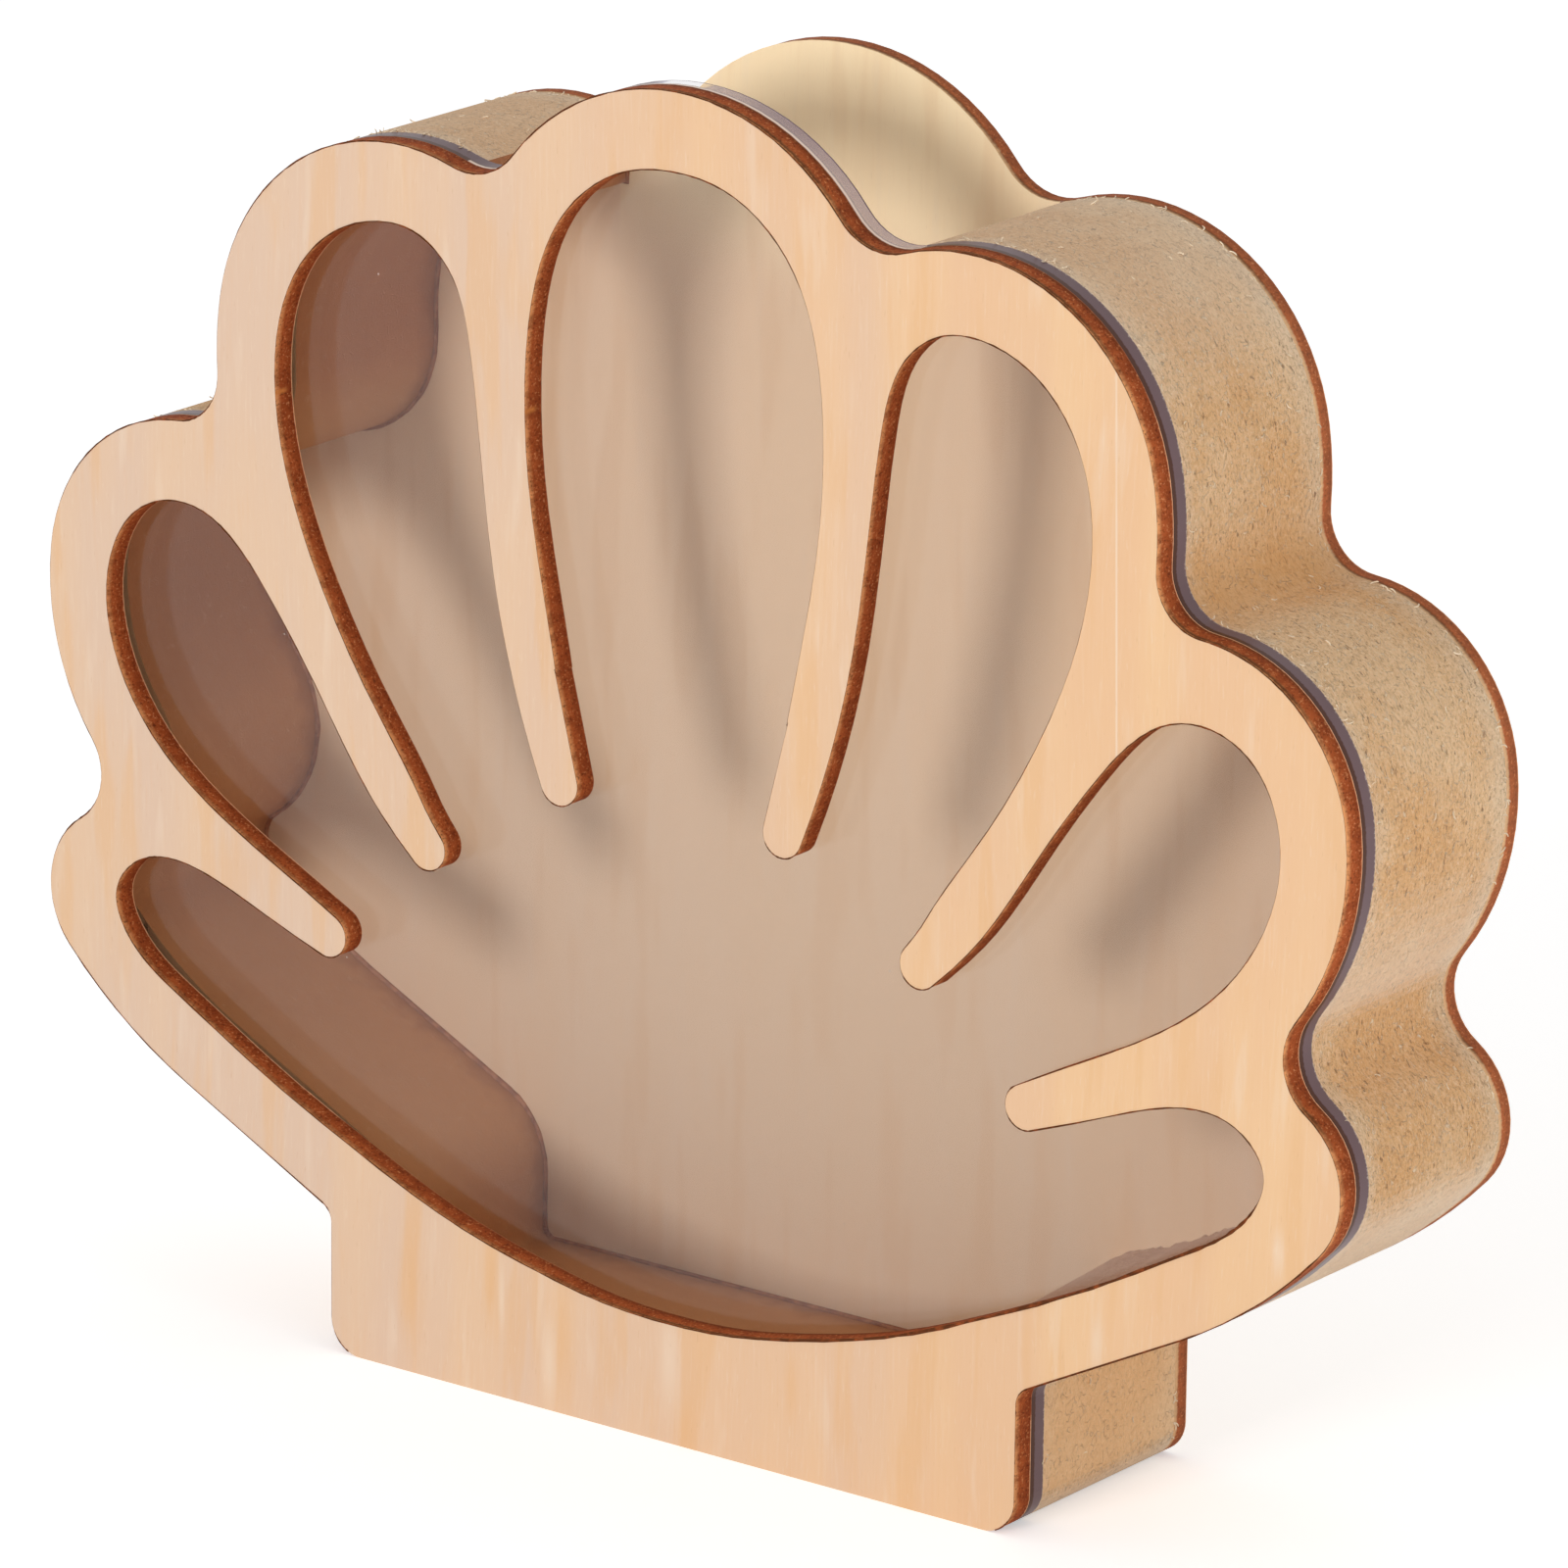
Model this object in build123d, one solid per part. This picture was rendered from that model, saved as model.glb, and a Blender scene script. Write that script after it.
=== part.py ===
from build123d import *
from math import atan2, cos, degrees, hypot, radians, sin, sqrt, tan
import os

# A scallop-shaped display case that stands on its foot: a windowed front frame, a clear pane, a thick
# core wall that is open at the top, and a plain back panel, glued face to face with their edges flush.
# Millimetres. X is the width, Y the depth with the front towards -Y, and Z is up. The origin is at the
# middle of the case's footprint, on the surface that it stands on.

# Sheets, from front to back
frame_thickness = 3.0
pane_thickness = 2.4
core_depth = 25.0
back_thickness = 2.3

# The core's wall, and the slot in its top that shells are dropped through
core_wall = 7.0
core_corner_radius = 1.5
slot_width = 60.0

# The width that the case is made to. The outline and the window below are drawn to it.
shell_width = 180.0

# The foot
foot_width = 96.4
foot_corner_radius = 4.2
foot_root_radius = 2.4

# Right half of the scalloped edge. Each lobe is a crest, given by its centre and radius. Past an angle
# a crest runs on smoothly as a flatter flank with a larger radius. The lowest lobe ends in a keel.
crown_centre = (0.0, 126.1)
crown_radius = 28.9
shoulder_centre = (39.0, 117.9)
shoulder_radius = 25.4
shoulder_flank_radius = 40.2
shoulder_flank_angle = 9.3
side_centre = (69.3, 86.1)
side_radius = 20.3
side_flank_radius = 30.9
side_flank_angle = 6.6
tip_centre = (79.7, 48.0)
tip_radius = 10.3
keel_radius = 61.8
keel_start_angle = -42.8
keel_end_angle = -63.2

# Radii of the hollows between the lobes
crown_notch_radius = 7.8
shoulder_notch_radius = 6.3
side_notch_radius = 6.8

# Fingers of the frame that reach into the window: the centre of each round tip, and the direction that
# the finger points in. Each side of a finger leans in by its taper.
finger_tip_radius = 2.6
finger_taper = 4.0
crown_finger = ((15.5, 74.1), -108.6)
side_finger = ((34.3, 62.9), -134.2)
low_finger = ((48.7, 49.8), -156.2)

# Window bays between the fingers: points that a smooth edge passes through, from the tip of one finger
# round the bay to the tip of the next. The first bay starts on the middle line at its top, and the last
# one ends there at the window's lowest point.
window_top = (0.0, 146.1)
crown_bay = [(8.7, 144.3), (15.6, 138.5), (19.5, 129.0), (20.5, 115.6), (18.8, 100.6), (16.0, 86.8)]
shoulder_bay = [
    (21.5, 83.0), (24.5, 94.8), (26.3, 106.7), (28.2, 121.6), (31.0, 129.9), (35.7, 133.6),
    (41.5, 134.1), (49.7, 130.4), (54.7, 123.2), (56.2, 114.2), (54.4, 102.5), (49.8, 91.3),
    (42.2, 78.6), (36.1, 70.0),
]
side_bay = [
    (41.5, 66.4), (50.2, 78.7), (57.3, 88.4), (61.3, 92.9), (66.2, 96.2), (72.0, 96.8),
    (77.3, 94.2), (81.0, 87.0), (80.0, 77.4), (75.4, 69.6), (66.3, 62.0), (55.7, 56.3),
]
low_bay = [
    (56.3, 49.8), (64.8, 53.0), (70.7, 54.3), (76.6, 53.2), (80.1, 48.7), (78.0, 43.4),
    (70.7, 38.1), (57.7, 31.0), (44.1, 24.7), (30.1, 19.2), (15.4, 15.6),
]
window_bottom = (0.0, 14.1)

draw_scale = shell_width / (2 * (tip_centre[0] + tip_radius))
case_depth = frame_thickness + pane_thickness + core_depth + back_thickness
OUTWARD = 1
INWARD = -1


def drawn(point):
    """A point of the drawing, at the size that the case is made to."""
    return (point[0] * draw_scale, point[1] * draw_scale)


def polar(centre, radius, angle):
    """The point at that distance and direction from a centre."""
    return (centre[0] + radius * cos(radians(angle)), centre[1] + radius * sin(radians(angle)))


def direction(start, end):
    """The direction from one point to another, in degrees."""
    return degrees(atan2(end[1] - start[1], end[0] - start[0]))


def flank_centre(centre, radius, flank_radius, angle):
    """The centre of the larger round that a lobe runs on as, past that angle of its crest."""
    return polar(centre, radius - flank_radius, angle)


def notch_centre(upper, upper_radius, lower, lower_radius, notch_radius):
    """The centre of a round that touches two neighbouring lobes and lies outside both."""
    reach_upper = upper_radius + notch_radius
    reach_lower = lower_radius + notch_radius
    apart = hypot(lower[0] - upper[0], lower[1] - upper[1])
    along = (reach_upper ** 2 - reach_lower ** 2 + apart ** 2) / (2 * apart)
    out = sqrt(reach_upper ** 2 - along ** 2)
    foot_point = polar(upper, along, direction(upper, lower))
    return polar(foot_point, out, direction(upper, lower) + 90)


def edge_rounds():
    """The right half of the case's edge as a list of rounds, from the top of the crown to the foot.
    Each is a centre, a radius, its first and last direction, and which way it bulges. Straight edges
    join the rounds that don't touch."""
    crown = drawn(crown_centre)
    shoulder = drawn(shoulder_centre)
    side = drawn(side_centre)
    tip = drawn(tip_centre)
    crown_r = crown_radius * draw_scale
    shoulder_r = shoulder_radius * draw_scale
    shoulder_flank_r = shoulder_flank_radius * draw_scale
    side_r = side_radius * draw_scale
    side_flank_r = side_flank_radius * draw_scale
    tip_r = tip_radius * draw_scale
    keel_r = keel_radius * draw_scale

    shoulder_flank = flank_centre(shoulder, shoulder_r, shoulder_flank_r, shoulder_flank_angle)
    side_flank = flank_centre(side, side_r, side_flank_r, side_flank_angle)
    keel = flank_centre(tip, tip_r, keel_r, keel_start_angle)

    notch_1_r = crown_notch_radius * draw_scale
    notch_2_r = shoulder_notch_radius * draw_scale
    notch_3_r = side_notch_radius * draw_scale
    notch_1 = notch_centre(crown, crown_r, shoulder, shoulder_r, notch_1_r)
    notch_2 = notch_centre(shoulder_flank, shoulder_flank_r, side, side_r, notch_2_r)
    notch_3 = notch_centre(side_flank, side_flank_r, tip, tip_r, notch_3_r)

    # The keel runs on straight to the foot, and a small hollow eases it into the foot's side
    keel_end = polar(keel, keel_r, keel_end_angle)
    root_x = foot_width / 2 + foot_root_radius
    drop = foot_root_radius / sin(radians(-keel_end_angle))
    root_z = keel_end[1] + (root_x - keel_end[0]) * tan(radians(keel_end_angle + 90)) - drop
    root = (root_x, root_z)

    return [
        (crown, crown_r, 90, direction(crown, notch_1), OUTWARD),
        (notch_1, notch_1_r, direction(notch_1, crown), direction(notch_1, shoulder), INWARD),
        (shoulder, shoulder_r, direction(shoulder, notch_1), shoulder_flank_angle, OUTWARD),
        (shoulder_flank, shoulder_flank_r, shoulder_flank_angle, direction(shoulder_flank, notch_2), OUTWARD),
        (notch_2, notch_2_r, direction(notch_2, shoulder_flank), direction(notch_2, side), INWARD),
        (side, side_r, direction(side, notch_2), side_flank_angle, OUTWARD),
        (side_flank, side_flank_r, side_flank_angle, direction(side_flank, notch_3), OUTWARD),
        (notch_3, notch_3_r, direction(notch_3, side_flank), direction(notch_3, tip), INWARD),
        (tip, tip_r, direction(tip, notch_3), keel_start_angle, OUTWARD),
        (keel, keel_r, keel_start_angle, keel_end_angle, OUTWARD),
        (root, foot_root_radius, keel_end_angle + 180, 180, INWARD),
    ]


def mirrored_face(right_half):
    """The face inside a right half edge and its mirror image."""
    left_half = [mirror(edge, about=Plane.YZ) for edge in right_half]
    return make_face(right_half + left_half)


def shell_face(inset, corner_radius):
    """The case's outline, drawn that far inside its cut edge, with that radius at the foot's corners."""
    edges = []
    last = None
    for centre, radius, first, final, bulge in edge_rounds():
        r = radius - bulge * inset
        turn = (final - first + 180) % 360 - 180
        start = polar(centre, r, first)
        end = polar(centre, r, first + turn)
        if last and hypot(start[0] - last[0], start[1] - last[1]) > 0.001:
            edges.append(Line(last, start))
            last = start
        edges.append(ThreePointArc(last or start, polar(centre, r, first + turn / 2), end))
        last = end
    corner = (foot_width / 2 - inset - corner_radius, inset + corner_radius)
    side_end = polar(corner, corner_radius, 0)
    bottom_end = polar(corner, corner_radius, -90)
    edges.append(Line(last, side_end))
    edges.append(ThreePointArc(side_end, polar(corner, corner_radius, -45), bottom_end))
    edges.append(Line(bottom_end, (0, inset)))
    return mirrored_face(edges)


def bay_edge(start, start_angle, points, end, end_angle):
    """A smooth edge through those points that leaves its start and reaches its end in set directions."""
    tangents = [polar((0, 0), 1, start_angle), polar((0, 0), 1, end_angle)]
    return Spline([start] + [drawn(p) for p in points] + [end], tangents=tangents)


def window_face():
    """The window in the front frame: seven bays joined below the tips of six fingers."""
    edges = []
    start = drawn(window_top)
    start_angle = 0
    fingers = [(crown_bay, crown_finger), (shoulder_bay, side_finger), (side_bay, low_finger)]
    for bay, (tip_point, angle) in fingers:
        tip = drawn(tip_point)
        near_side = polar(tip, finger_tip_radius, angle + finger_taper - 90)
        far_side = polar(tip, finger_tip_radius, angle - finger_taper + 90)
        edges.append(bay_edge(start, start_angle, bay, near_side, angle + finger_taper))
        edges.append(ThreePointArc(near_side, polar(tip, finger_tip_radius, angle), far_side))
        start = far_side
        start_angle = angle - finger_taper + 180
    edges.append(bay_edge(start, start_angle, low_bay, drawn(window_bottom), 180))
    return mirrored_face(edges)


def sheet(face, front, thickness):
    """A sheet cut to an outline, with its front face that far behind the front of the case."""
    upright = Plane.XZ * face
    placed = Pos(0, front - case_depth / 2, 0) * upright
    return extrude(placed, amount=thickness, dir=(0, 1, 0))


def front_frame(outline):
    return sheet(outline - window_face(), 0, frame_thickness)


def window_pane(outline):
    return sheet(outline, frame_thickness, pane_thickness)


def core_ring(outline):
    """The wall of the case: the outline less its inside, and less the slot across the crown."""
    slot_bottom = crown_centre[1] * draw_scale
    slot_top = (crown_centre[1] + crown_radius) * draw_scale + core_wall
    slot = Pos(0, (slot_bottom + slot_top) / 2) * Rectangle(slot_width, slot_top - slot_bottom)
    ring = outline - shell_face(core_wall, core_corner_radius) - slot
    return sheet(ring, frame_thickness + pane_thickness, core_depth)


def back_panel(outline):
    return sheet(outline, frame_thickness + pane_thickness + core_depth, back_thickness)


def main():
    os.makedirs("parts", exist_ok=True)
    outline = shell_face(0, foot_corner_radius)
    for piece in (front_frame, window_pane, core_ring, back_panel):
        export_step(piece(outline), f"parts/{piece.__name__}.step")


main()
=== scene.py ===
import math
import random

import bpy
from mathutils import Matrix, Vector


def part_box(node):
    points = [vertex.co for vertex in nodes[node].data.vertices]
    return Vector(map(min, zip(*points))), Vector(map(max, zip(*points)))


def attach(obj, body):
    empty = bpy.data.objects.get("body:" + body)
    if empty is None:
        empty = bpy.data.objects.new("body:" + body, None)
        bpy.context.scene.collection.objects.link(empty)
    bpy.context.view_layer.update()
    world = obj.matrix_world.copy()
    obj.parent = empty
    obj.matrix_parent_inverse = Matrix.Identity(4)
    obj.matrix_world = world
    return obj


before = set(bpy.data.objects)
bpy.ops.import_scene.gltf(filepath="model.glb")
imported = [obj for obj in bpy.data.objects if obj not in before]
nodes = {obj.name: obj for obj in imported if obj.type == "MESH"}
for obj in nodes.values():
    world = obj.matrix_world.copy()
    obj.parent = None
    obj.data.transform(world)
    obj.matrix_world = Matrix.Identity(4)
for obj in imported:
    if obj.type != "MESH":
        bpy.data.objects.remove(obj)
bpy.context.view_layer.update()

MM = 0.001

# Depths of the sheets' faces behind the front of the case, read from the frame
front_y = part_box("front_frame")[0].y
pane_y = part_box("window_pane")[0].y
core_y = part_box("core_ring")[0].y
back_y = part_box("back_panel")[0].y
rear_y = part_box("back_panel")[1].y

# The x and z of a point inside the shell, in millimetres. A cut face that looks away from it is outside.
SHELL_MIDDLE = (0.0, 60.0)

# Half the width of the stretch of each rim that stands free over the slot, in millimetres
FREE_RIM = 31.0

# Where the photograph was taken from, in metres. The camera looked from this turn to the right of the front
# and this height, tilted by this roll, all in degrees.
CAMERA_PLACE = (0.6931, -0.91725, 0.4230)
CAMERA_TURN = 36.946
CAMERA_HEIGHT = 17.089
CAMERA_ROLL = 0.616
LENS_MM = 248.26
LENS_SHIFT = (0.001, 0.0199)

# The point that the softboxes are aimed at, in metres
LAMP_AIM = (0.0, 0.0, 0.08)

# Colours, as they look on a screen: the veneers
FRONT_ROSY = (216, 187, 164)
FRONT_PEACH = (226, 185, 146)
BACK_ROSY = (245, 216, 183)
BACK_PEACH = (246, 214, 174)
# painted light: the paler tone of the back panel where it stands bare over the slot
BACK_PAINTED_LIGHT = (255, 234, 192)
BACK_LOW = (225, 199, 171)
HONEY_GLOW = (231, 193, 150)
HONEY_STREAK = (222, 176, 128)
WHITE_STREAK = (232, 214, 194)
WOOD_PORE = (194, 150, 110)

# the plywood's cut edges
SCORCH_GOLD = (230, 160, 104)
SCORCH_RED = (176, 88, 45)
SCORCH_BROWN = (128, 56, 27)
SCORCH_BLACK = (62, 30, 20)
SCORCH_DARK = (88, 48, 22)
SCORCH_PALE = (204, 150, 112)
VENEER_LINE = (255, 198, 152)
LASER_NICK = (214, 136, 70)
ARRIS_BURN = (90, 50, 27)

# the board and its glue
BOARD_TAN = (227, 188, 144)
BOARD_ORANGE = (217, 166, 112)
BOARD_GREY = (221, 200, 172)
# painted light on the board: paler where it faces down low and where it faces up high
BOARD_PAINTED_LIGHT = (244, 222, 198)
# painted light from the table on the foot's lower part
BOARD_PAINTED_BOUNCE = (248, 202, 152)
# painted shade: the darker orange just under the notches between the side lobes
BOARD_NOTCH_SHADE = (214, 152, 86)
# painted shade on the inner wall
BOARD_UMBER = (140, 88, 62)
BOARD_FLECK = (110, 72, 42)
BOARD_FIBRE = (246, 226, 196)
BOARD_INSIDE = (208, 156, 112)
BOARD_SHADE = (186, 129, 95)
TORN_LIP = (206, 172, 150)
# the dark brown of the glue, which also paints the shade in the inner wall's corner with the back panel
GLUE_AND_SHADE_BROWN = (150, 98, 74)

# the pane's cut edge and its dust
ACRYLIC_EDGE = (111, 88, 91)
# painted shade and reflection: the dark brown front of the cut edge, next to the plywood
ACRYLIC_DARK = (78, 44, 30)
# painted reflection: the lilac sheen of the cut edge where it stands free over the slot
ACRYLIC_PAINTED_SHEEN = (130, 114, 154)
ACRYLIC_GLINT = (255, 230, 212)
ACRYLIC_DUST = (206, 190, 178)

# and the table, with how much its white is lifted where the camera sees it
FLOOR_WHITE = (250, 250, 250)
FLOOR_LIFT = (172, 172, 172)

# The ragged top of the torn part of the core's inner wall, and where it joins the wall, as x and z
# in millimetres
TORN_EDGE = (
    (38.7, 20.4), (38.7, 21.6), (40.8, 22.9), (43.3, 24.1),
    (47.4, 25.3), (52.8, 27.9), (57.0, 30.1), (61.5, 32.1),
)
TORN_ROOT = (
    (62.5, 31.0), (53.0, 25.5), (45.0, 21.0), (43.0, 18.0),
    (42.0, 13.0), (40.9, 13.6), (39.6, 17.0),
)

# Where the board's front margin is fuzziest: x and z, in millimetres
FIBRE_TUFTS = ((-41.0, 140.0), (41.0, 140.0), (48.0, 19.0))

# A loose fibre's own radius and that of its bend, in millimetres, before it is scaled down
FIBRE_RADIUS = 0.19
FIBRE_BEND = 1.3

# How many loose fibres stand at the board's rear and front margins, in the tufts, and on the wall between
REAR_FIBRES = 260
FRONT_FIBRES = 130
TUFT_FIBRES = 60
WALL_FIBRES = 160

# How far right of the middle two leaves of the face's veneer meet, in millimetres
LEAF_JOINT = 30.8

# How far right of the middle a pale seam in the front veneer would meet the table, in millimetres, and
# how far in it leans for each millimetre up
LEAF_SEAM = 62.1
SEAM_LEAN = 0.024

# The plainest streaks in the front veneer's foot and right side: the x and z of each one's middle, and its
# half width and half height, in millimetres
HONEY_STREAKS = (
    (-36.4, 11.0, 2.8, 14.0),
    (-24.9, 13.0, 1.8, 9.0),
    (-14.2, 9.0, 2.2, 13.0),
    (2.8, 2.0, 2.2, 7.0),
    (17.6, 10.5, 1.5, 7.0),
)
PALE_STREAKS = (
    (-23.4, 12.0, 0.7, 6.0),
    (-16.6, 5.5, 1.5, 8.0),
    (0.6, 10.0, 2.2, 9.0),
    (58.8, 25.0, 1.3, 5.0),
    (82.2, 40.5, 1.3, 4.0),
)

# A bead up to this radius, in millimetres, is too thin for its roundness to show
THIN_BEAD = 0.2

# How much heavier the burnt line is on the right half of the window's lower edge
LEDGE_BURN = 2.4

# Where the laser began to cut the window, which left pale nicks: x and z, in millimetres
LASER_STARTS = ((-55.9, 112.0), (-20.5, 115.8))

# How brightly the white surroundings light the case, where 1 is how bright the camera sees them
SKY_STRENGTH = 0.586

# The share of light that clear acrylic mirrors when looked at head on
HEAD_ON_SHINE = 0.07

# How bright its mirror image is, as the sheet's faces are dusty
SHINE_BRIGHTNESS = 0.37

# The share of each colour that passes through one face of it
PANE_TINT = (0.974, 0.968, 0.974, 1.0)


def linear(colour):
    """A screen colour, 0 to 255, as the linear colour that a shader takes."""
    parts = [c / 255 for c in colour]
    return tuple(c / 12.92 if c <= 0.04045 else ((c + 0.055) / 1.055) ** 2.4 for c in parts) + (1.0,)


class Value:
    """A number that varies over a surface. An expression on values adds its Math nodes."""

    def __init__(self, finish, socket):
        self.finish = finish
        self.socket = socket

    def maths(self, operation, *others):
        return self.finish.node("ShaderNodeMath", {"operation": operation}, [self, *others])

    def __add__(self, other):
        return self.maths("ADD", other)

    def __mul__(self, other):
        return self.maths("MULTIPLY", other)

    def __sub__(self, other):
        return self.maths("SUBTRACT", other)

    def __rsub__(self, other):
        return self.finish.node("ShaderNodeMath", {"operation": "SUBTRACT"}, [other, self])

    def __pow__(self, other):
        return self.maths("POWER", other)

    def __gt__(self, other):
        return self.maths("GREATER_THAN", other)

    def __lt__(self, other):
        return self.maths("LESS_THAN", other)

    def __abs__(self):
        return self.maths("ABSOLUTE")

    def ramp(self, start, end, low=0.0, high=1.0):
        """low up to start, high from end, and smooth between them."""
        inputs = {"Value": self, "From Min": start, "From Max": end, "To Min": low, "To Max": high}
        return self.finish.node("ShaderNodeMapRange", {"interpolation_type": "SMOOTHSTEP"}, inputs)

    def line_at(self, level, width):
        """1 where the value is at a level, down to 0 at a width from it."""
        return abs(self - level).ramp(0.0, width, 1.0, 0.0)


class Finish:
    """A material under construction."""

    def __init__(self, name):
        self.material = bpy.data.materials.new(name)
        self.material.use_nodes = True
        self.tree = self.material.node_tree
        self.tree.nodes.clear()

    def node(self, kind, settings, inputs, output=0):
        """Adds a node with its settings, then its inputs by name or in order, and gives one output."""
        made = self.tree.nodes.new(kind)
        for key, setting in settings.items():
            setattr(made, key, setting)
        pairs = inputs.items() if isinstance(inputs, dict) else enumerate(inputs)
        for key, given in pairs:
            if isinstance(given, Value):
                self.tree.links.new(given.socket, made.inputs[key])
            else:
                made.inputs[key].default_value = given
        return Value(self, made.outputs[output]) if made.outputs else None

    def parts_of(self, vector):
        return [self.node("ShaderNodeSeparateXYZ", {}, [vector], axis) for axis in range(3)]

    def place(self):
        """x, y and z of the point being shaded, in the object's own frame, in millimetres."""
        point = self.node("ShaderNodeTexCoord", {}, {}, "Object")
        scaled = self.node("ShaderNodeVectorMath", {"operation": "SCALE"}, {0: point, "Scale": 1 / MM})
        return self.parts_of(scaled)

    def normal(self):
        return self.parts_of(self.node("ShaderNodeNewGeometry", {}, {}, "True Normal"))

    def facing_depth(self):
        """1 on faces that look along the case's depth, and 0 on the cut edges."""
        return abs(self.normal()[1]) > 0.6

    def noise(self, x, y, z, detail=2.0, roughness=0.5):
        """Cloudy noise from 0 to 1 about a middle of 0.5, with one cloud per unit of its coordinates."""
        point = self.node("ShaderNodeCombineXYZ", {}, [x, y, z])
        inputs = {"Vector": point, "Scale": 1.0, "Detail": detail, "Roughness": roughness}
        return self.node("ShaderNodeTexNoise", {}, inputs)

    def mix(self, amount, first, second):
        """A colour from first to second."""
        first, second = (linear(c) if isinstance(c, tuple) else c for c in (first, second))
        inputs = {0: amount, 6: first, 7: second}
        return self.node("ShaderNodeMix", {"data_type": "RGBA"}, inputs, 2)

    def over(self, base, *layers):
        """A colour with others laid over it in turn, each given as (amount, colour)."""
        for amount, colour in layers:
            base = self.mix(amount, base, colour)
        return base

    def bump(self, height, depth_mm):
        inputs = {"Height": height, "Strength": 1.0, "Distance": depth_mm * MM}
        return self.node("ShaderNodeBump", {}, inputs)

    def surface(self, **inputs):
        named = {key.replace("_", " "): given for key, given in inputs.items()}
        return self.node("ShaderNodeBsdfPrincipled", {}, named)

    def finished(self, shader):
        self.node("ShaderNodeOutputMaterial", {}, {"Surface": shader})
        return self.material


def wear(piece, material):
    """Puts one finish on all of a piece."""
    for slot in piece.material_slots:
        slot.material = material


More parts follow.
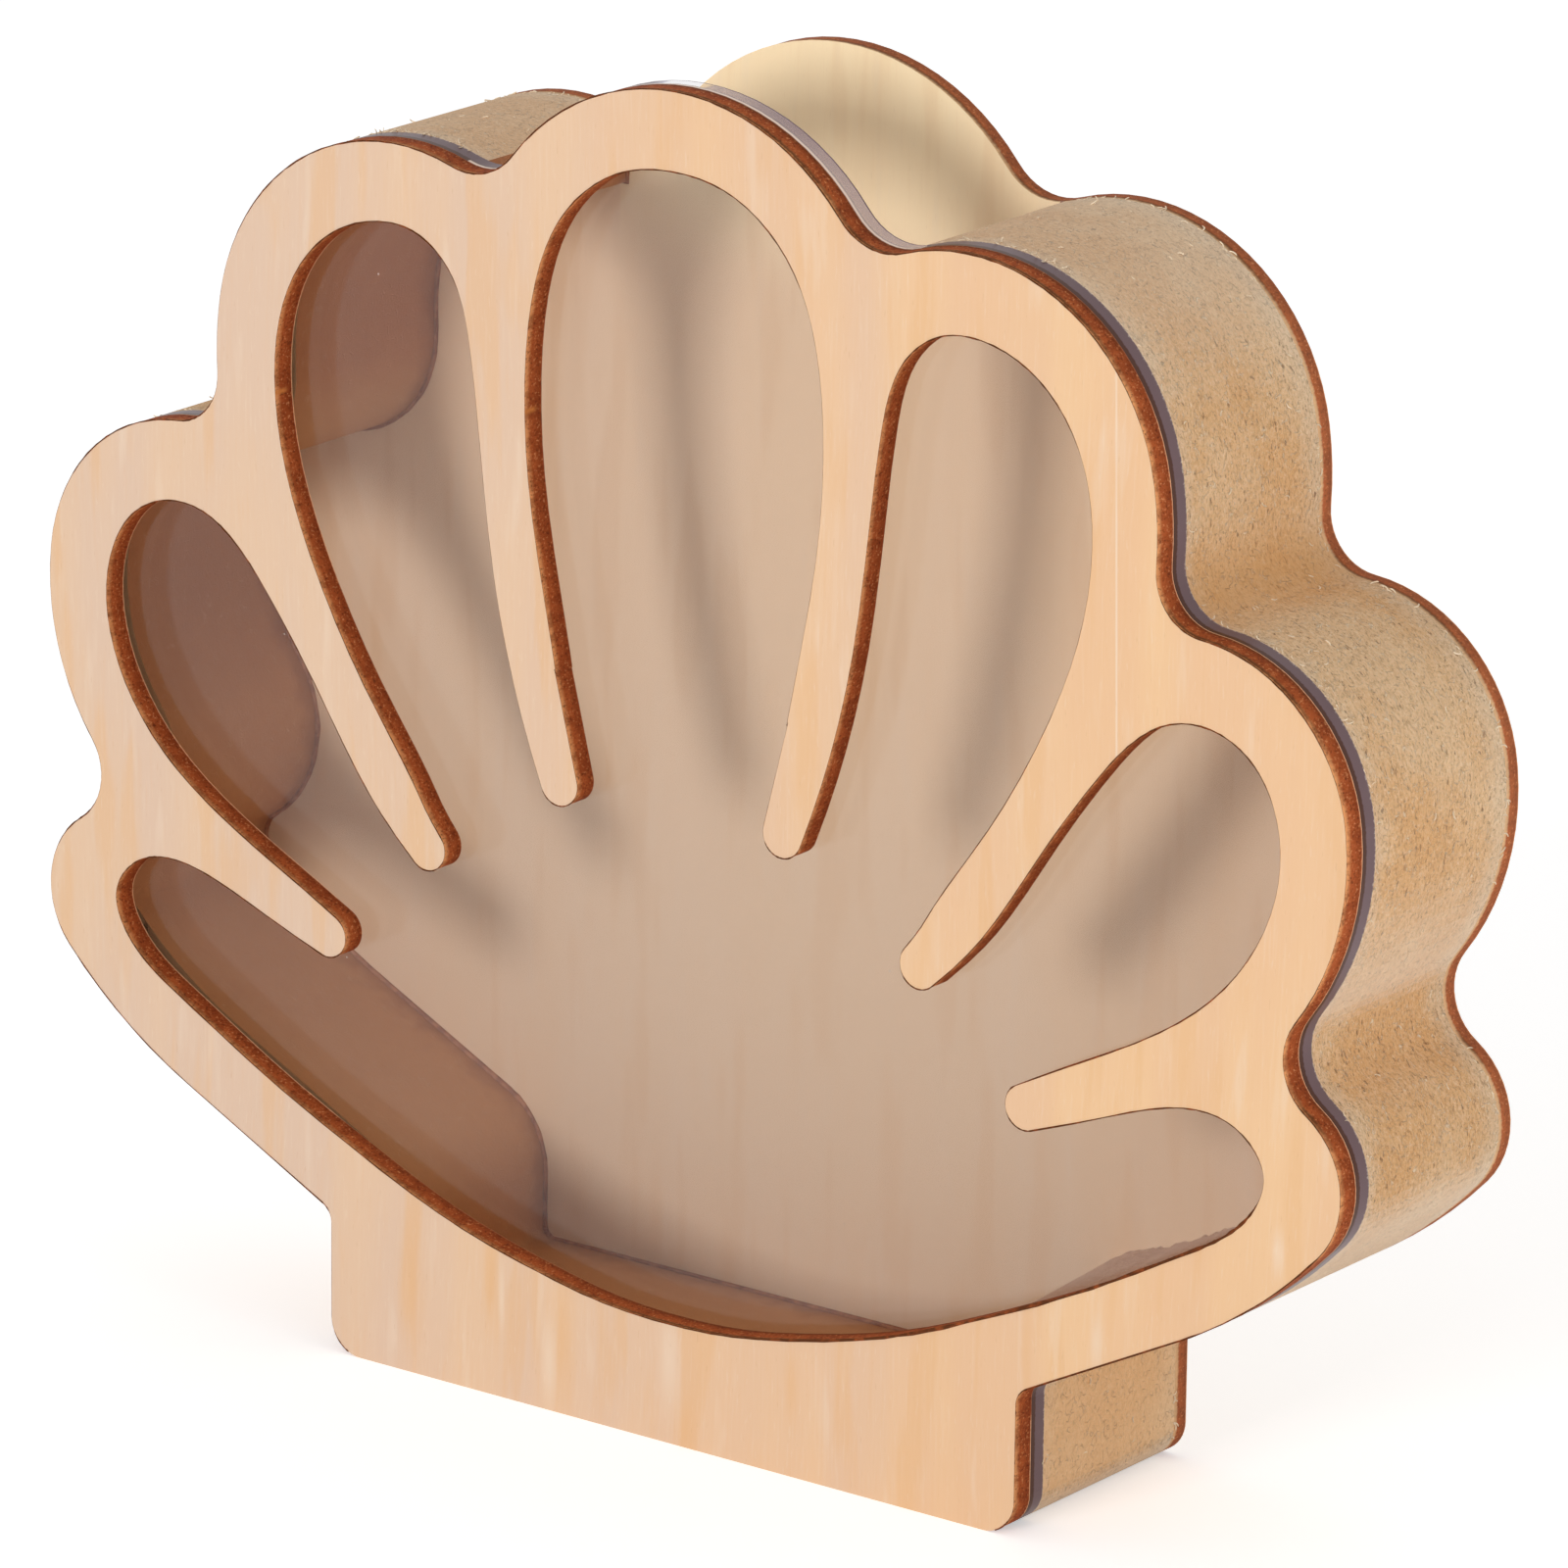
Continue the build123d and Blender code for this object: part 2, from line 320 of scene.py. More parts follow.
def bare_basswood(name, sheet_front, sheet_rear, rosy, peach, figure, char, seed):
    """Pale plywood with upright grain and laser-scorched cut edges.

    figure is how strong the grain is and char how burnt the edges are, both from 0 to 1. Less figure brings
    in painted light, which makes the back panel paler where it stands bare over the slot, and a darkening
    towards its bottom; less char brings in a margin in the board's colour. seed moves the grain sideways,
    so that the sheets differ.
    """
    f = Finish(name)
    x, y, z = f.place()
    sway = f.noise(x * 0.02, seed, z * 0.012, 1.0)
    across = x + seed + sway * 6.0
    plain = 1 - figure
    unburnt = 1 - char

    # the middle coordinate only tells one pattern from the next
    leaf = f.noise(across * 0.05, 1.0, z * 0.003, 2.0)
    glow = f.noise(across * 0.10, 2.0, z * 0.014, 1.5)
    honey = f.noise(across * 0.23, 3.0, z * 0.028, 2.0)
    white = f.noise(across * 0.34, 4.0, z * 0.045, 2.0)
    thread = f.noise(across * 2.2, 5.0, z * 0.14, 2.0, 0.6)
    dash = f.noise(across * 2.8, 6.0, z * 0.45, 1.0)
    pore = f.noise(across * 4.0, 7.0, z * 0.55, 1.0)
    joint = (x + sway * 2.0).ramp(LEAF_JOINT + 0.6, LEAF_JOINT + 1.4)
    seam = (x + z * SEAM_LEAN).line_at(LEAF_SEAM, 0.22) * z.ramp(58.0, 84.0)
    free = z.ramp(124.0, 138.0) * (f.normal()[1] < 0) * (abs(x) < FREE_RIM)

    tone = x * 0.0045 + leaf * 0.8 + 0.05
    face = f.over(
        f.mix(tone.ramp(0.15, 0.85), rosy, peach),
        (joint * 0.25, peach),
        (seam * (0.65 * figure), WHITE_STREAK),
        (z.ramp(112.0, 40.0) * (plain * 1.2), BACK_LOW),
        # painted light: the back panel is paler where it stands bare over the slot
        (free * plain * 1.3, BACK_PAINTED_LIGHT),
        (glow.ramp(0.40, 0.66) * x.ramp(-10.0, 70.0, 0.30, 0.60) * figure, HONEY_GLOW),
        (honey.ramp(0.52, 0.65) * (0.40 * figure), HONEY_STREAK),
        (white.ramp(0.58, 0.72) * (0.24 * figure), WHITE_STREAK),
        (thread.ramp(0.50, 0.74) * (0.13 * figure), HONEY_STREAK),
        (thread.ramp(0.48, 0.26) * (0.13 * figure), WHITE_STREAK),
        (dash.ramp(0.63, 0.75) * (0.16 * figure), WHITE_STREAK),
    )
    for streaks, streak_colour, strength in (
        (HONEY_STREAKS, HONEY_STREAK, 0.48),
        (PALE_STREAKS, WHITE_STREAK, 0.42),
    ):
        for middle_x, middle_z, half_width, half_height in streaks:
            streak = x.line_at(middle_x, half_width) * z.line_at(middle_z, half_height)
            face = f.mix(streak * (strength * figure), face, streak_colour)
    face = f.mix(pore.ramp(0.68, 0.78) * (0.25 * figure), face, WOOD_PORE)

    depth = y - sheet_front / MM
    thickness = (sheet_rear - sheet_front) / MM
    ragged = (f.noise(x * 2.4, 8.0, z * 2.4, 2.0, 0.6) - 0.5) * 0.5
    flame = f.noise(x * 0.7, y * 0.3, z * 0.7, 3.0, 0.6)
    soot = f.noise(x * 3.4, y * 2.6, z * 3.4, 2.0, 0.6)
    burnt = depth + ragged
    ledge = f.normal()[2].ramp(0.50, 0.85) * x.ramp(-25.0, 5.0, 0.35, 1.0) * char
    rim = x.ramp(60.0, 64.0) + x.ramp(-48.0, -52.0) + z.ramp(14.0, 12.0) + 0.25
    veneer = (depth + ragged * 0.3).line_at(thickness, 0.19) * rim.ramp(0.0, 1.0)
    scorch = f.over(
        f.mix(burnt.ramp(thickness * 0.04, thickness * 0.36), SCORCH_GOLD, SCORCH_RED),
        ((depth - ragged).ramp(thickness * 0.40, thickness * 0.85) * 0.6, SCORCH_BROWN),
        (flame.ramp(0.44, 0.62) * 0.50, SCORCH_BROWN),
        (soot.ramp(0.54, 0.70) * 0.60, SCORCH_BLACK),
        (soot.ramp(0.43, 0.28) * 0.55, SCORCH_GOLD),
        (unburnt, SCORCH_PALE),
        (burnt.ramp(0.75, 0.25) * (unburnt * 5.0), BOARD_TAN),
        (ledge * burnt.line_at(0.50, 0.55) * 0.85, SCORCH_DARK),
        (ledge * burnt.line_at(2.75, 0.50) * 0.55, SCORCH_DARK),
        (veneer * (0.95 * char), VENEER_LINE),
    )
    for start_x, start_z in LASER_STARTS:
        nick = (z - ragged).line_at(start_z, 0.5) * x.line_at(start_x, 2.0) * depth.ramp(2.5, 1.3)
        scorch = f.mix(nick * 0.8, scorch, LASER_NICK)

    flat = f.facing_depth()
    colour = f.mix(flat, scorch, face)
    bump = f.bump(thread * flat * 0.5 + (soot + flame) * (1 - flat), 0.04)
    return f.finished(f.surface(Base_Color=colour, Roughness=0.7, Normal=bump, Specular_IOR_Level=0.05))


def fibreboard():
    """Tan fibreboard with dark flecks and pale curly fibres, smoother and browner inside the case."""
    f = Finish("core_fibreboard")
    x, y, z = f.place()
    across, _, up = f.normal()
    outward = across * (x - SHELL_MIDDLE[0]) + up * (z - SHELL_MIDDLE[1]) > 0
    thickness = (back_y - core_y) / MM
    depth = y - core_y / MM

    cloud = f.noise(x * 0.045, y * 0.045, z * 0.045, 2.0)
    patch = f.noise(x * 0.35, y * 0.35 + 20.0, z * 0.35, 3.0, 0.6)
    grit = f.noise(x * 1.7, y * 2.7, z * 1.7, 3.0, 0.7)
    fleck = f.noise(x * 0.9, y * 1.8 + 40.0, z * 0.9, 2.0, 0.6)
    curl = f.noise(x * 0.9, y * 0.9 + 60.0, z * 0.9, 1.0)
    where = f.noise(x * 0.8, y * 0.8 + 80.0, z * 0.8, 1.0)
    hair = f.noise(x * 1.3, y * 2.6 + 100.0, z * 1.3, 1.5)
    fibre = curl.line_at(0.5, 0.022) * where.ramp(0.48, 0.60)
    chip = curl.line_at(0.42, 0.020) * where.ramp(0.50, 0.40)
    inset = depth + (patch - 0.5) * 5.0
    margin = inset.ramp(3.0, 0.0) * 0.35 + inset.ramp(thickness - 5.0, thickness) * 0.48

    # painted light: the board is paler where it faces down below about 90 mm, as if lit by the table, and
    # where it faces up above about 120 mm, as if lit from above
    painted_light_below = up.ramp(-0.05, -0.7) * z.ramp(100.0, 88.0) * 0.55
    painted_light_above = up.ramp(0.3, 0.9) * z.ramp(116.0, 126.0) * 0.30
    outside = f.over(
        f.mix((cloud + (patch - 0.5) * 0.25).ramp(0.34, 0.64), BOARD_TAN, BOARD_ORANGE),
        (margin, BOARD_GREY),
        (grit.ramp(0.50, 0.24) * 0.50, BOARD_FLECK),
        (grit.ramp(0.54, 0.74) * 0.42, BOARD_FIBRE),
        (fleck.ramp(0.63, 0.70) * 0.65, BOARD_FLECK),
        (fibre * 0.75, BOARD_FIBRE),
        (chip * 0.55, BOARD_FLECK),
        (hair.line_at(0.54, 0.035) * 0.35, BOARD_FIBRE),
        (hair.line_at(0.40, 0.030) * 0.40, BOARD_FLECK),
        (painted_light_below + painted_light_above, BOARD_PAINTED_LIGHT),
        # painted shade: darker and more orange just under the notches of the side lobes
        (z.line_at(107.0, 9.0) * abs(x).line_at(65.0, 9.0) * 0.55, BOARD_NOTCH_SHADE),
        # painted light: the board is paler low on the foot, where light from the table falls
        (z.ramp(24.0, 12.0) * up.ramp(-0.3, 0.0) * 0.55, BOARD_PAINTED_BOUNCE),
    )
    # painted light and shade on the inner wall: darker towards the top, paler in a band about 104 mm up and
    # darker in one about 80 mm up
    height = z.ramp(20.0, 125.0)
    inside = f.over(
        f.mix(height * 0.8 + (patch - 0.5) * 0.4, BOARD_INSIDE, BOARD_SHADE),
        (z.line_at(104.0, 9.0) * 0.35, BOARD_TAN),
        (z.line_at(80.0, 20.0) * 0.25, BOARD_UMBER),
        (grit.ramp(0.48, 0.26) * 0.12, BOARD_FLECK),
        (fibre * 0.15, BOARD_FIBRE),
        # painted shade and glue: the inner wall darkens towards its corner with the back panel
        (inset.ramp(thickness - 4.0, thickness + 1.0) * 0.55, GLUE_AND_SHADE_BROWN),
    )
    colour = f.mix(outward, inside, outside)
    # the board's faces are paler, partly the tone of its factory surface and partly painted light on the
    # strip of its front face that lies in shade beside the window's edge
    colour = f.mix(f.facing_depth(), colour, BOARD_TAN)
    bump = f.bump((grit + fibre * 0.8) * (outward * 0.8 + 0.2), 0.14)
    return f.finished(f.surface(Base_Color=colour, Roughness=0.9, Normal=bump, Specular_IOR_Level=0.3))


def clear_acrylic():
    """Clear sheet with glossy faces, a little dust, and a smoky cut edge, partly clear over the slot, where
    the edge carries a painted sheen and a painted glint.
    """
    f = Finish("clear_acrylic")
    x, y, z = f.place()
    depth = y - pane_y / MM
    fuzz = f.noise(x * 3.1, y * 1.2, z * 3.1, 3.0, 0.7)
    free = (z > 122.0) * (abs(x) < FREE_RIM)
    dusty = (depth + (fuzz - 0.5) * 1.2).ramp(2.25, 2.45) * (1 - free)
    mid_edge = free * depth.ramp(0.45, 0.65) * depth.ramp(2.26, 2.14) * x.ramp(-7.0, -4.0)
    # painted shade and reflection: the cut edge is dark brown at its front, next to the plywood
    cut = f.over(
        f.mix((depth + (fuzz - 0.5) * 0.4).ramp(0.60, 0.85), ACRYLIC_DARK, ACRYLIC_EDGE),
        (dusty * 0.6, ACRYLIC_DUST),
        # painted reflection: a lilac sheen on the free edge over the slot
        (mid_edge, ACRYLIC_PAINTED_SHEEN),
        (free * depth.line_at(0.22, 0.50) * 0.95, ACRYLIC_GLINT),
    )
    edge = f.surface(Base_Color=cut, Roughness=0.35, Specular_IOR_Level=0.15)
    through = f.node("ShaderNodeBsdfTransparent", {}, {"Color": PANE_TINT})
    # from x -7 rightwards the free edge is half see-through, and nearly clear as far as x 1.6
    clearest = x.ramp(-5.0, -4.0) * x.ramp(1.6, 0.8)
    edge = f.node("ShaderNodeMixShader", {}, [mid_edge * (clearest * 0.45 + 0.5), edge, through])

    dull = (SHINE_BRIGHTNESS, SHINE_BRIGHTNESS, SHINE_BRIGHTNESS, 1.0)
    shine = f.node("ShaderNodeBsdfGlossy", {}, {"Color": dull, "Roughness": 0.12})
    glancing = f.node("ShaderNodeLayerWeight", {}, {"Blend": 0.5}, "Facing")
    mirrored = glancing ** 5 * (1 - HEAD_ON_SHINE) + HEAD_ON_SHINE
    face = f.node("ShaderNodeMixShader", {}, [mirrored, through, shine])
    # a speck of dust at the middle of some of the cells of a foam
    point = f.node("ShaderNodeCombineXYZ", {}, [x, y, z])
    cells = {"Vector": point, "Scale": 0.14}
    speck = f.node("ShaderNodeTexVoronoi", {}, cells, "Distance") < 0.016
    chosen = f.parts_of(f.node("ShaderNodeTexVoronoi", {}, cells, "Color"))[0] > 0.72
    dust = f.surface(Base_Color=linear(ACRYLIC_DUST), Roughness=0.9)
    face = f.node("ShaderNodeMixShader", {}, [speck * chosen * 0.7, face, dust])
    return f.finished(f.node("ShaderNodeMixShader", {}, [f.facing_depth(), edge, face]))


def loose_fibre():
    """The pale, slightly streaky finish of the board's loose fibres."""
    f = Finish("loose_fibre")
    x, y, z = f.place()
    streak = f.noise(x * 1.5, y * 1.5, z * 1.5, 2.0)
    colour = f.mix(streak.ramp(0.3, 0.7), BOARD_GREY, BOARD_FIBRE)
    return f.finished(f.surface(Base_Color=colour, Roughness=0.8, Normal=f.bump(streak, 0.02)))


def torn_board():
    """Greyish torn board with paler shreds, browner where it faces the front."""
    f = Finish("torn_board")
    x, y, z = f.place()
    shred = f.noise(x * 1.4, y * 2.0, z * 2.2, 3.0, 0.7)
    colour = f.mix(shred.ramp(0.50, 0.75) * 0.6, TORN_LIP, BOARD_FIBRE)
    colour = f.mix(shred.ramp(0.45, 0.25) * 0.5, colour, GLUE_AND_SHADE_BROWN)
    colour = f.mix((f.normal()[1] < -0.6) * 0.6, colour, GLUE_AND_SHADE_BROWN)
    return f.finished(f.surface(Base_Color=colour, Roughness=0.8, Normal=f.bump(shred, 0.2)))


def burnt_line():
    """The patchy brown of a burnt arris."""
    f = Finish("burnt_line")
    x, y, z = f.place()
    patch = f.noise(x * 0.9, y, z * 0.9, 3.0, 0.6)
    colour = f.mix(patch.ramp(0.45, 0.80) * 0.7, ARRIS_BURN, SCORCH_RED)
    return f.finished(f.surface(Base_Color=colour, Roughness=0.8, Specular_IOR_Level=0.05))


def dried_glue_and_shade():
    """Dark squeezed-out glue, whose darkness is also painted shade in the corner where it lies."""
    f = Finish("dried_glue_and_shade")
    x, y, z = f.place()
    lump = f.noise(x * 0.8, y * 0.8, z * 0.8, 3.0)
    colour = f.mix(lump.ramp(0.35, 0.7), GLUE_AND_SHADE_BROWN, BOARD_SHADE)
    return f.finished(f.surface(Base_Color=colour, Roughness=0.7, Normal=f.bump(lump, 0.1)))


def only_select(piece):
    bpy.ops.object.select_all(action="DESELECT")
    piece.select_set(True)
    bpy.context.view_layer.objects.active = piece


def cut_bits(name, sheet_y):
    """The straight bits of a sheet's outlines on one of its faces, as (start, end, normal of the cut)."""
    sheet = nodes[name].data
    bits = []
    for face in sheet.polygons:
        if abs(face.normal.y) > 0.5:
            continue
        ends = [sheet.vertices[i].co for i in face.vertices]
        ends = [p for p in ends if abs(p.y - sheet_y) < 0.01 * MM]
        if len(ends) == 2:
            bits.append((ends[0].copy(), ends[1].copy(), face.normal.copy()))
    return bits


def wall_bits(sheet_y, outside):
    """The bits of the core's outer or inner outline on one of its faces."""
    middle = Vector((SHELL_MIDDLE[0], 0, SHELL_MIDDLE[1])) * MM
    bits = cut_bits("core_ring", sheet_y)
    return [bit for bit in bits if (((bit[0] + bit[1]) / 2 - middle).dot(bit[2]) > 0) == outside]


def bent_fibre():
    """One fibre, rooted at the origin, which sets off along X and curls towards Z: six short lengths."""
    bpy.ops.object.select_all(action="DESELECT")
    bpy.ops.mesh.primitive_circle_add(vertices=4, radius=FIBRE_RADIUS * MM, rotation=(0, math.pi / 2, 0))
    fibre = bpy.context.object
    fibre.name = "bent_fibre"
    bpy.ops.object.transform_apply(location=False, rotation=True, scale=False)
    bpy.ops.object.mode_set(mode="EDIT")
    bpy.ops.mesh.select_all(action="SELECT")
    bpy.ops.mesh.spin(steps=6, angle=math.radians(105), center=(0, 0, FIBRE_BEND * MM), axis=(0, 1, 0))
    # the tip, which is still selected, and then the root are each drawn to a point
    bpy.ops.mesh.merge(type="CENTER")
    bpy.ops.object.mode_set(mode="OBJECT")
    for vertex in fibre.data.vertices:
        vertex.select = abs(vertex.co.x) < 0.001 * MM
    bpy.ops.object.mode_set(mode="EDIT")
    bpy.ops.mesh.select_mode(type="VERT")
    bpy.ops.mesh.merge(type="CENTER")
    bpy.ops.mesh.select_all(action="SELECT")
    bpy.ops.mesh.normals_make_consistent(inside=False)
    bpy.ops.object.mode_set(mode="OBJECT")
    return fibre


def sow(fibre, name, places):
    """Copies the fibre to each place, given as a matrix, and joins the copies into one piece."""
    copies = []
    for place in places:
        mesh = fibre.data.copy()
        mesh.transform(place)
        copy = bpy.data.objects.new(name, mesh)
        bpy.context.scene.collection.objects.link(copy)
        copies.append(copy)
    bpy.ops.object.select_all(action="DESELECT")
    for copy in copies:
        copy.select_set(True)
    bpy.context.view_layer.objects.active = copies[0]
    bpy.ops.object.join()
    piece = bpy.context.object
    piece.name = name
    return piece


def lay(root, along, curl, size):
    """A matrix that roots a fibre at a point, sets it off one way and curls it towards another."""
    along = along.normalized()
    side = curl.cross(along).normalized()
    turn = Matrix((along, side, along.cross(side))).transposed().to_4x4()
    return Matrix.Translation(root) @ turn @ Matrix.Scale(size, 4)


def along_outline(rng, bits, count):
    """Random points on an outline, as (point, direction of the outline, normal)."""
    lengths = [(end - start).length for start, end, normal in bits]
    for start, end, normal in rng.choices(bits, lengths, k=count):
        yield start.lerp(end, rng.random()), (end - start).normalized(), normal


def near(point, x, z, reach=7.0):
    """Whether a point is within reach of an x and a z, all in millimetres but the point."""
    return math.hypot(point.x / MM - x, point.z / MM - z) < reach


def core_fibres():
    """Loose fibres that stand out of the board's cut wall, most of them at its margins."""
    rng = random.Random(4)
    places = []
    depth_way = Vector((0, 1, 0))
    rear, front = (
        [bit for bit in wall_bits(sheet_y, True) if bit[2].z > -0.3]
        for sheet_y in (back_y, core_y)
    )
    for point, run, normal in along_outline(rng, rear, REAR_FIBRES):
        way = depth_way * rng.uniform(0.5, 1.0) + run * rng.uniform(-0.9, 0.9)
        way += normal * rng.uniform(0.0, 0.20)
        root = point - depth_way * rng.uniform(0.1, 0.7) * MM
        curl = run * rng.choice((-1, 1)) + normal * rng.uniform(-0.2, 0.3)
        places.append(lay(root, way, curl, rng.uniform(0.20, 0.50)))
    tufts = [bit for bit in front if any(near(bit[0], x, z) for x, z in FIBRE_TUFTS)]
    for bits, count in ((front, FRONT_FIBRES), (tufts, TUFT_FIBRES)):
        for point, run, normal in along_outline(rng, bits, count):
            way = run * rng.choice((-1, 1)) + depth_way * rng.uniform(-0.9, 0.3)
            way += normal * rng.uniform(0.05, 0.3)
            root = point + depth_way * rng.uniform(0.0, 0.8) * MM
            curl = depth_way * rng.uniform(-1, 1) + normal * rng.uniform(-0.2, 0.4)
            places.append(lay(root, way, curl, rng.uniform(0.18, 0.45)))
    for point, run, normal in along_outline(rng, front, WALL_FIBRES):
        root = point + depth_way * rng.uniform(1.0, 24.0) * MM - normal * 0.02 * MM
        way = run * rng.uniform(-1, 1) + depth_way * rng.uniform(-0.6, 0.6) + normal * rng.uniform(0.0, 0.2)
        curl = run * rng.uniform(-1, 1) + depth_way * rng.uniform(-1, 1)
        places.append(lay(root, way, curl, rng.uniform(0.2, 0.5)))
    fibre = bent_fibre()
    piece = sow(fibre, "core_fibres", places)
    bpy.data.objects.remove(fibre)
    return piece


def bead_along(name, bits, cuts, depth, swellings):
    """A round bead along bits of an outline, cut finer, whose radius follows a list of swellings."""
    mesh = bpy.data.meshes.new(name)
    corners = [p for start, end, normal in bits for p in (start, end)]
    mesh.from_pydata(corners, [(i, i + 1) for i in range(0, len(corners), 2)], [])
    bead = bpy.data.objects.new(name, mesh)
    bpy.context.scene.collection.objects.link(bead)
    only_select(bead)
    bpy.ops.object.mode_set(mode="EDIT")
    bpy.ops.mesh.select_all(action="SELECT")
    bpy.ops.mesh.remove_doubles(threshold=0.01 * MM)
    bpy.ops.mesh.subdivide(number_cuts=cuts)
    bpy.ops.object.mode_set(mode="OBJECT")
    bpy.ops.object.convert(target="CURVE")
    bead.data.bevel_depth = depth * MM
    bead.data.bevel_resolution = 1 if depth > THIN_BEAD else 0
    bead.data.use_fill_caps = True
    for spline in bead.data.splines:
        for point, swelling in zip(spline.points, swellings(spline.points)):
            point.radius = swelling
    bpy.ops.object.convert(target="MESH")
    return bead


def glue_and_shade_bead():
    """The bead of glue in the corner between the core's inner wall and the back panel, its darkness also
    painted shade in that corner.
    """
    rng = random.Random(9)

    def swellings(points):
        swell = 1.0
        for point in points:
            swell = 0.75 * swell + 0.25 * rng.uniform(0.5, 1.5)
            yield swell

    bead = bead_along("glue_and_shade_bead", wall_bits(back_y, False), 2, 0.40, swellings)
    bpy.ops.object.shade_smooth()
    return bead


def torn_corner():
    """The ragged swelling of the core's inner wall above the foot's right corner."""
    rng = random.Random(21)
    edge = []
    for (x, z), (next_x, next_z) in zip(TORN_EDGE, TORN_EDGE[1:]):
        steps = max(1, round((next_x - x) / 0.5))
        edge += [(x + (next_x - x) * i / steps, z + (next_z - z) * i / steps) for i in range(steps)]
    loop = edge + [TORN_EDGE[-1]] + list(TORN_ROOT)
    mesh = bpy.data.meshes.new("torn_corner")
    points = [(x * MM, back_y - 0.02 * MM, z * MM) for x, z in loop]
    mesh.from_pydata(points, [(i, (i + 1) % len(loop)) for i in range(len(loop))], [])
    corner = bpy.data.objects.new("torn_corner", mesh)
    bpy.context.scene.collection.objects.link(corner)
    only_select(corner)
    bpy.ops.object.mode_set(mode="EDIT")
    bpy.ops.mesh.select_all(action="SELECT")
    bpy.ops.mesh.edge_face_add()
    # a level lip at the back panel, and then a slope down to the pane
    for forward, down in ((0.7, 0.0), (24.2, 1.6)):
        bpy.ops.mesh.extrude_region_move(TRANSFORM_OT_translate={"value": (0, -forward * MM, -down * MM)})
    bpy.ops.mesh.select_all(action="SELECT")
    bpy.ops.mesh.normals_make_consistent(inside=False)
    bpy.ops.object.mode_set(mode="OBJECT")
    # only the rear edge is ragged
    for vertex in corner.data.vertices[1:len(edge)]:
        vertex.co.z += rng.uniform(-0.2, 0.3) * MM
    bpy.ops.object.shade_smooth_by_angle(angle=math.radians(30))
    return corner


def on_right_ledge(point):
    """Whether a point of the front sheet's outlines is on the right half of the window's lower edge."""
    x, z = point.x / MM, point.z / MM
    return x > 12.0 and 12.0 + 0.0042 * x * x < z < 45.0


def burnt_arrises():
    """The thin burnt line that the laser left on the front sheet's edges where they run level."""
    rng = random.Random(5)

    def swellings(points):
        places = [point.co.to_3d() for point in points]
        for last, following in zip(places[-1:] + places, places[1:] + places[:1]):
            run = following - last
            level = abs(run.x) / run.length
            heavy = LEDGE_BURN if on_right_ledge(following) else 1.0
            yield rng.uniform(0.6, 1.3) * min(1.0, max(0.2, 2.2 * level - 0.6)) * heavy

    bits = [bit for bit in cut_bits("front_frame", front_y) if max(bit[0].z, bit[1].z) > 0.5 * MM]
    return bead_along("burnt_arrises", bits, 1, 0.09, swellings)


def add_piece(piece, material):
    """Finishes a new piece: it takes its material and rides on the case."""
    piece.data.materials.clear()
    piece.data.materials.append(material)
    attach(piece, "root")


def studio_white(name):
    """White to the camera and in mirrors, and a plain pale surface to everything else."""
    f = Finish(name)
    seen = f.node("ShaderNodeLightPath", {}, {}, "Is Camera Ray")
    for ray in ("Is Glossy Ray", "Is Transmission Ray"):
        seen = seen.maths("MAXIMUM", f.node("ShaderNodeLightPath", {}, {}, ray))
    lift = f.mix(seen, (0, 0, 0), FLOOR_LIFT)
    inputs = {"Base_Color": linear(FLOOR_WHITE), "Emission_Color": lift, "Emission_Strength": 1.0}
    return f.finished(f.surface(Roughness=1.0, **inputs))


def make_floor():
    bpy.ops.object.select_all(action="DESELECT")
    bpy.ops.mesh.primitive_plane_add(size=6.0, location=(0, 0, 0))
    floor = bpy.context.object
    floor.name = "studio_floor"
    floor.data.materials.append(studio_white("studio_floor"))


def way_towards(turn, height):
    """The direction from the case to a turn to the right of its front and a height, both in degrees."""
    turn, height = math.radians(turn), math.radians(height)
    return Vector((math.sin(turn) * math.cos(height), -math.cos(turn) * math.cos(height), math.sin(height)))


def square_lamp(name, size, power):
    """A square area lamp, which shines straight down until it is turned."""
    data = bpy.data.lights.new(name, "AREA")
    data.shape = "SQUARE"
    data.size = size
    data.energy = power
    lamp = bpy.data.objects.new(name, data)
    bpy.context.scene.collection.objects.link(lamp)
    return lamp


def aim_at_case(lamp, turn, height, distance):
    """Puts a lamp at a turn, a height and a distance from the case, and turns it to face the case."""
    way = way_towards(turn, height)
    lamp.location = Vector(LAMP_AIM) + way * distance
    lamp.rotation_euler = way.to_track_quat("Z", "Y").to_euler()


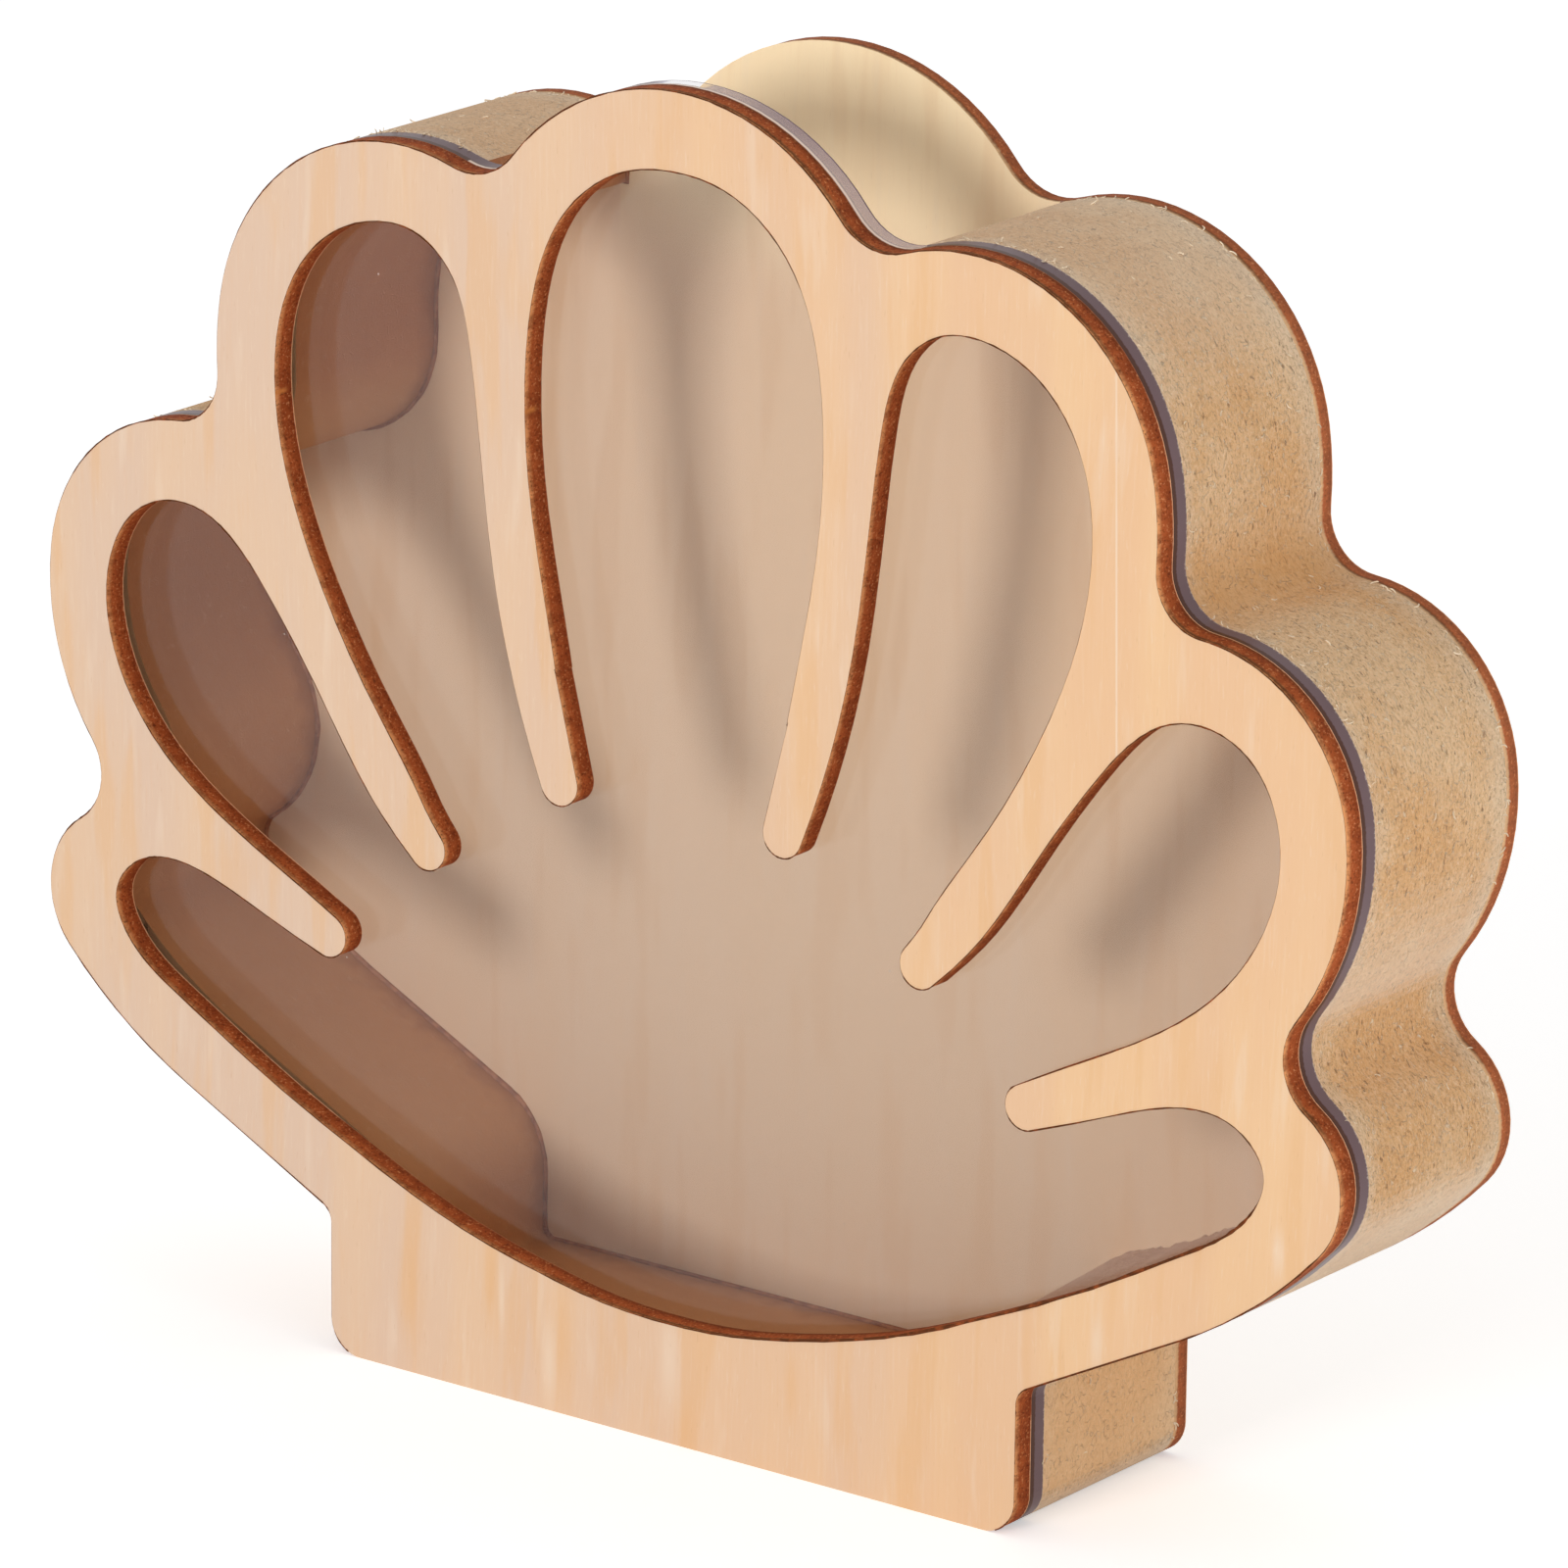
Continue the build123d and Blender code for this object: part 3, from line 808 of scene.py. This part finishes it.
def light_the_set():
    world = bpy.data.worlds.new("studio")
    world.use_nodes = True
    bpy.context.scene.world = world
    tree = world.node_tree
    background = tree.nodes["Background"]
    background.inputs["Color"].default_value = (1, 1, 1, 1)
    path = tree.nodes.new("ShaderNodeLightPath")
    seen = path.outputs["Is Camera Ray"]
    for ray in ("Is Glossy Ray", "Is Transmission Ray"):
        either = tree.nodes.new("ShaderNodeMath")
        either.operation = "MAXIMUM"
        tree.links.new(seen, either.inputs[0])
        tree.links.new(path.outputs[ray], either.inputs[1])
        seen = either.outputs[0]
    strength = tree.nodes.new("ShaderNodeMapRange")
    strength.inputs["To Min"].default_value = SKY_STRENGTH
    tree.links.new(seen, strength.inputs["Value"])
    tree.links.new(strength.outputs[0], background.inputs["Strength"])
    front = square_lamp("front_softbox", size=0.50, power=14.6)
    aim_at_case(front, turn=-4.0, height=10.5, distance=1.8)
    side = square_lamp("side_softbox", size=0.50, power=2.4)
    aim_at_case(side, turn=85.0, height=8.0, distance=1.5)
    wash = square_lamp("table_wash", size=0.20, power=0.5)
    wash.location = (0.37, -0.06, 0.50)
    wash.data.spread = math.radians(36)


def place_camera():
    data = bpy.data.cameras.new("camera")
    data.lens = LENS_MM
    data.sensor_width = 36.0
    data.shift_x, data.shift_y = LENS_SHIFT
    data.clip_start = 0.05
    data.clip_end = 20.0
    camera = bpy.data.objects.new("camera", data)
    bpy.context.scene.collection.objects.link(camera)
    roll = math.radians(CAMERA_ROLL)
    back = way_towards(CAMERA_TURN, CAMERA_HEIGHT)
    level_right = Vector((0, 0, 1)).cross(back).normalized()
    level_up = back.cross(level_right)
    right = level_right * math.cos(roll) + level_up * math.sin(roll)
    up = level_up * math.cos(roll) - level_right * math.sin(roll)
    camera.matrix_world = Matrix.Translation(CAMERA_PLACE) @ Matrix((right, up, back)).transposed().to_4x4()
    bpy.context.scene.camera = camera


front_basswood = bare_basswood("front_basswood", front_y, pane_y, FRONT_ROSY, FRONT_PEACH, 1.0, 1.0, 0.0)
back_basswood = bare_basswood("back_basswood", back_y, rear_y, BACK_ROSY, BACK_PEACH, 0.45, 0.85, 300.0)
wear(nodes["front_frame"], front_basswood)
wear(nodes["back_panel"], back_basswood)
wear(nodes["core_ring"], fibreboard())
wear(nodes["window_pane"], clear_acrylic())
add_piece(core_fibres(), loose_fibre())
add_piece(glue_and_shade_bead(), dried_glue_and_shade())
add_piece(torn_corner(), torn_board())
add_piece(burnt_arrises(), burnt_line())
make_floor()
light_the_set()
place_camera()
bpy.context.scene.view_settings.view_transform = "Standard"
